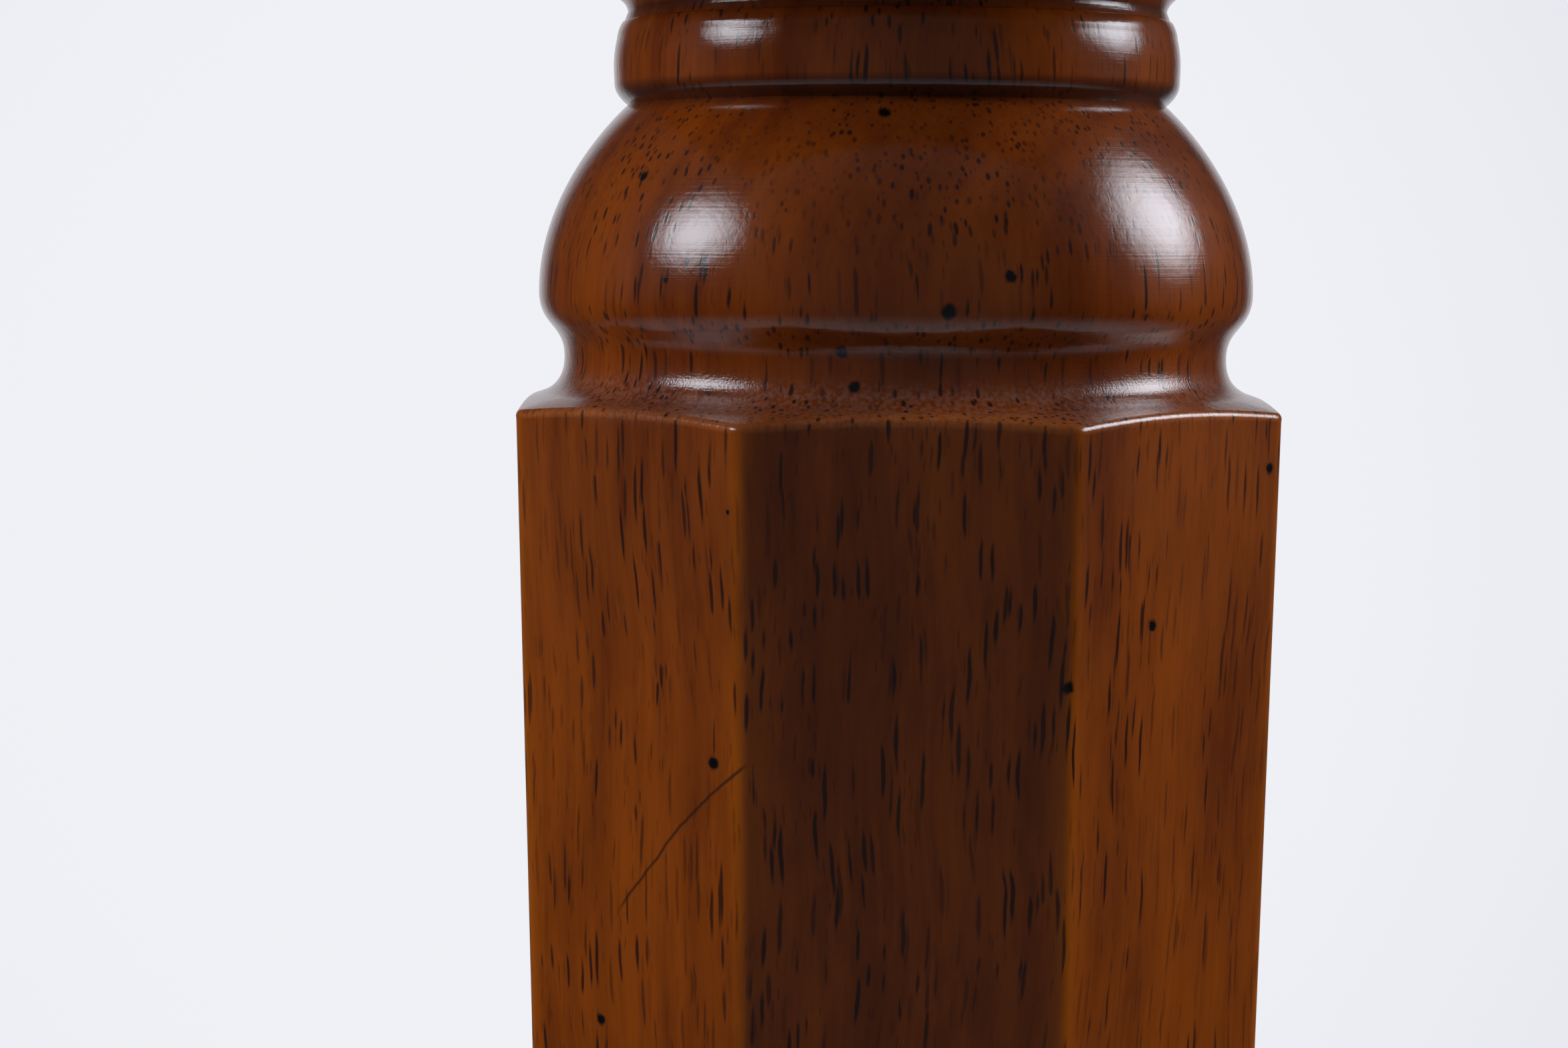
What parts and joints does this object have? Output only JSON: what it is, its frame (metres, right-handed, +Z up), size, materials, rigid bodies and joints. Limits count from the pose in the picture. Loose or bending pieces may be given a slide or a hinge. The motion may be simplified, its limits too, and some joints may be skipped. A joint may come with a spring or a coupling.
{
  "type": "octagonal table leg",
  "caption": "Lacquered hardwood table leg: square block, turned neck, tapered octagonal shaft and turned foot, with hanger bolts, wing nuts and a screw levelling glide.",
  "frame": {"origin": "on the leg's axis, at the underside of the felt glide, which is the floor", "axes": "+Z up along the leg; the show face of the octagon and of the block looks along -Y; the bolts leave the block along +X +Y"},
  "size_m": [0.0938, 0.0938, 0.72],
  "materials": {
    "lacquered_wood": "mahogany-stained open-pored hardwood under gloss lacquer",
    "zinc_plated_steel": "bright zinc plate",
    "glide_plastic": "moulded dark brown nylon",
    "wool_felt": "pressed wool felt"
  },
  "bodies": {
    "leg": {"leg_post": "lacquered_wood", "foot_insert": "zinc_plated_steel", "hanger_bolt_upper": "zinc_plated_steel", "hanger_bolt_lower": "zinc_plated_steel"},
    "glide": {"glide_base": "glide_plastic", "glide_felt": "wool_felt"},
    "stud": {"levelling_stud": "zinc_plated_steel"},
    "washer_upper": {"bolt_washer_upper": "zinc_plated_steel"},
    "nut_upper": {"wing_nut_upper": "zinc_plated_steel"},
    "washer_lower": {"bolt_washer_lower": "zinc_plated_steel"},
    "nut_lower": {"wing_nut_lower": "zinc_plated_steel"}
  },
  "joints": [
    {"name": "glide_travel", "type": "slide", "parent": "leg", "child": "glide", "axis": [0, 0, -1], "range_m": [0, 0.02]},
    {"name": "stud_turn", "type": "hinge", "parent": "glide", "child": "stud", "pos_m": [0, 0, 0], "axis": [0, 0, -1], "range_deg": [0, 5760]},
    {"name": "washer_upper_travel", "type": "slide", "parent": "leg", "child": "washer_upper", "axis": [0.7071, 0.7071, 0], "range_m": [0, 0.025]},
    {"name": "nut_upper_turn", "type": "hinge", "parent": "washer_upper", "child": "nut_upper", "pos_m": [0.02828, 0.02828, 0.69], "axis": [0.7071, 0.7071, 0], "range_deg": [0, 7200]},
    {"name": "washer_lower_travel", "type": "slide", "parent": "leg", "child": "washer_lower", "axis": [0.7071, 0.7071, 0], "range_m": [0, 0.025]},
    {"name": "nut_lower_turn", "type": "hinge", "parent": "washer_lower", "child": "nut_lower", "pos_m": [0.02828, 0.02828, 0.64], "axis": [0.7071, 0.7071, 0], "range_deg": [0, 7200]}
  ],
  "couplings": [
    {"joint": "glide_travel", "follows": "stud_turn", "m_per_rad": 0.00019894},
    {"joint": "washer_upper_travel", "follows": "nut_upper_turn", "m_per_rad": 0.00019894},
    {"joint": "washer_lower_travel", "follows": "nut_lower_turn", "m_per_rad": 0.00019894}
  ]
}
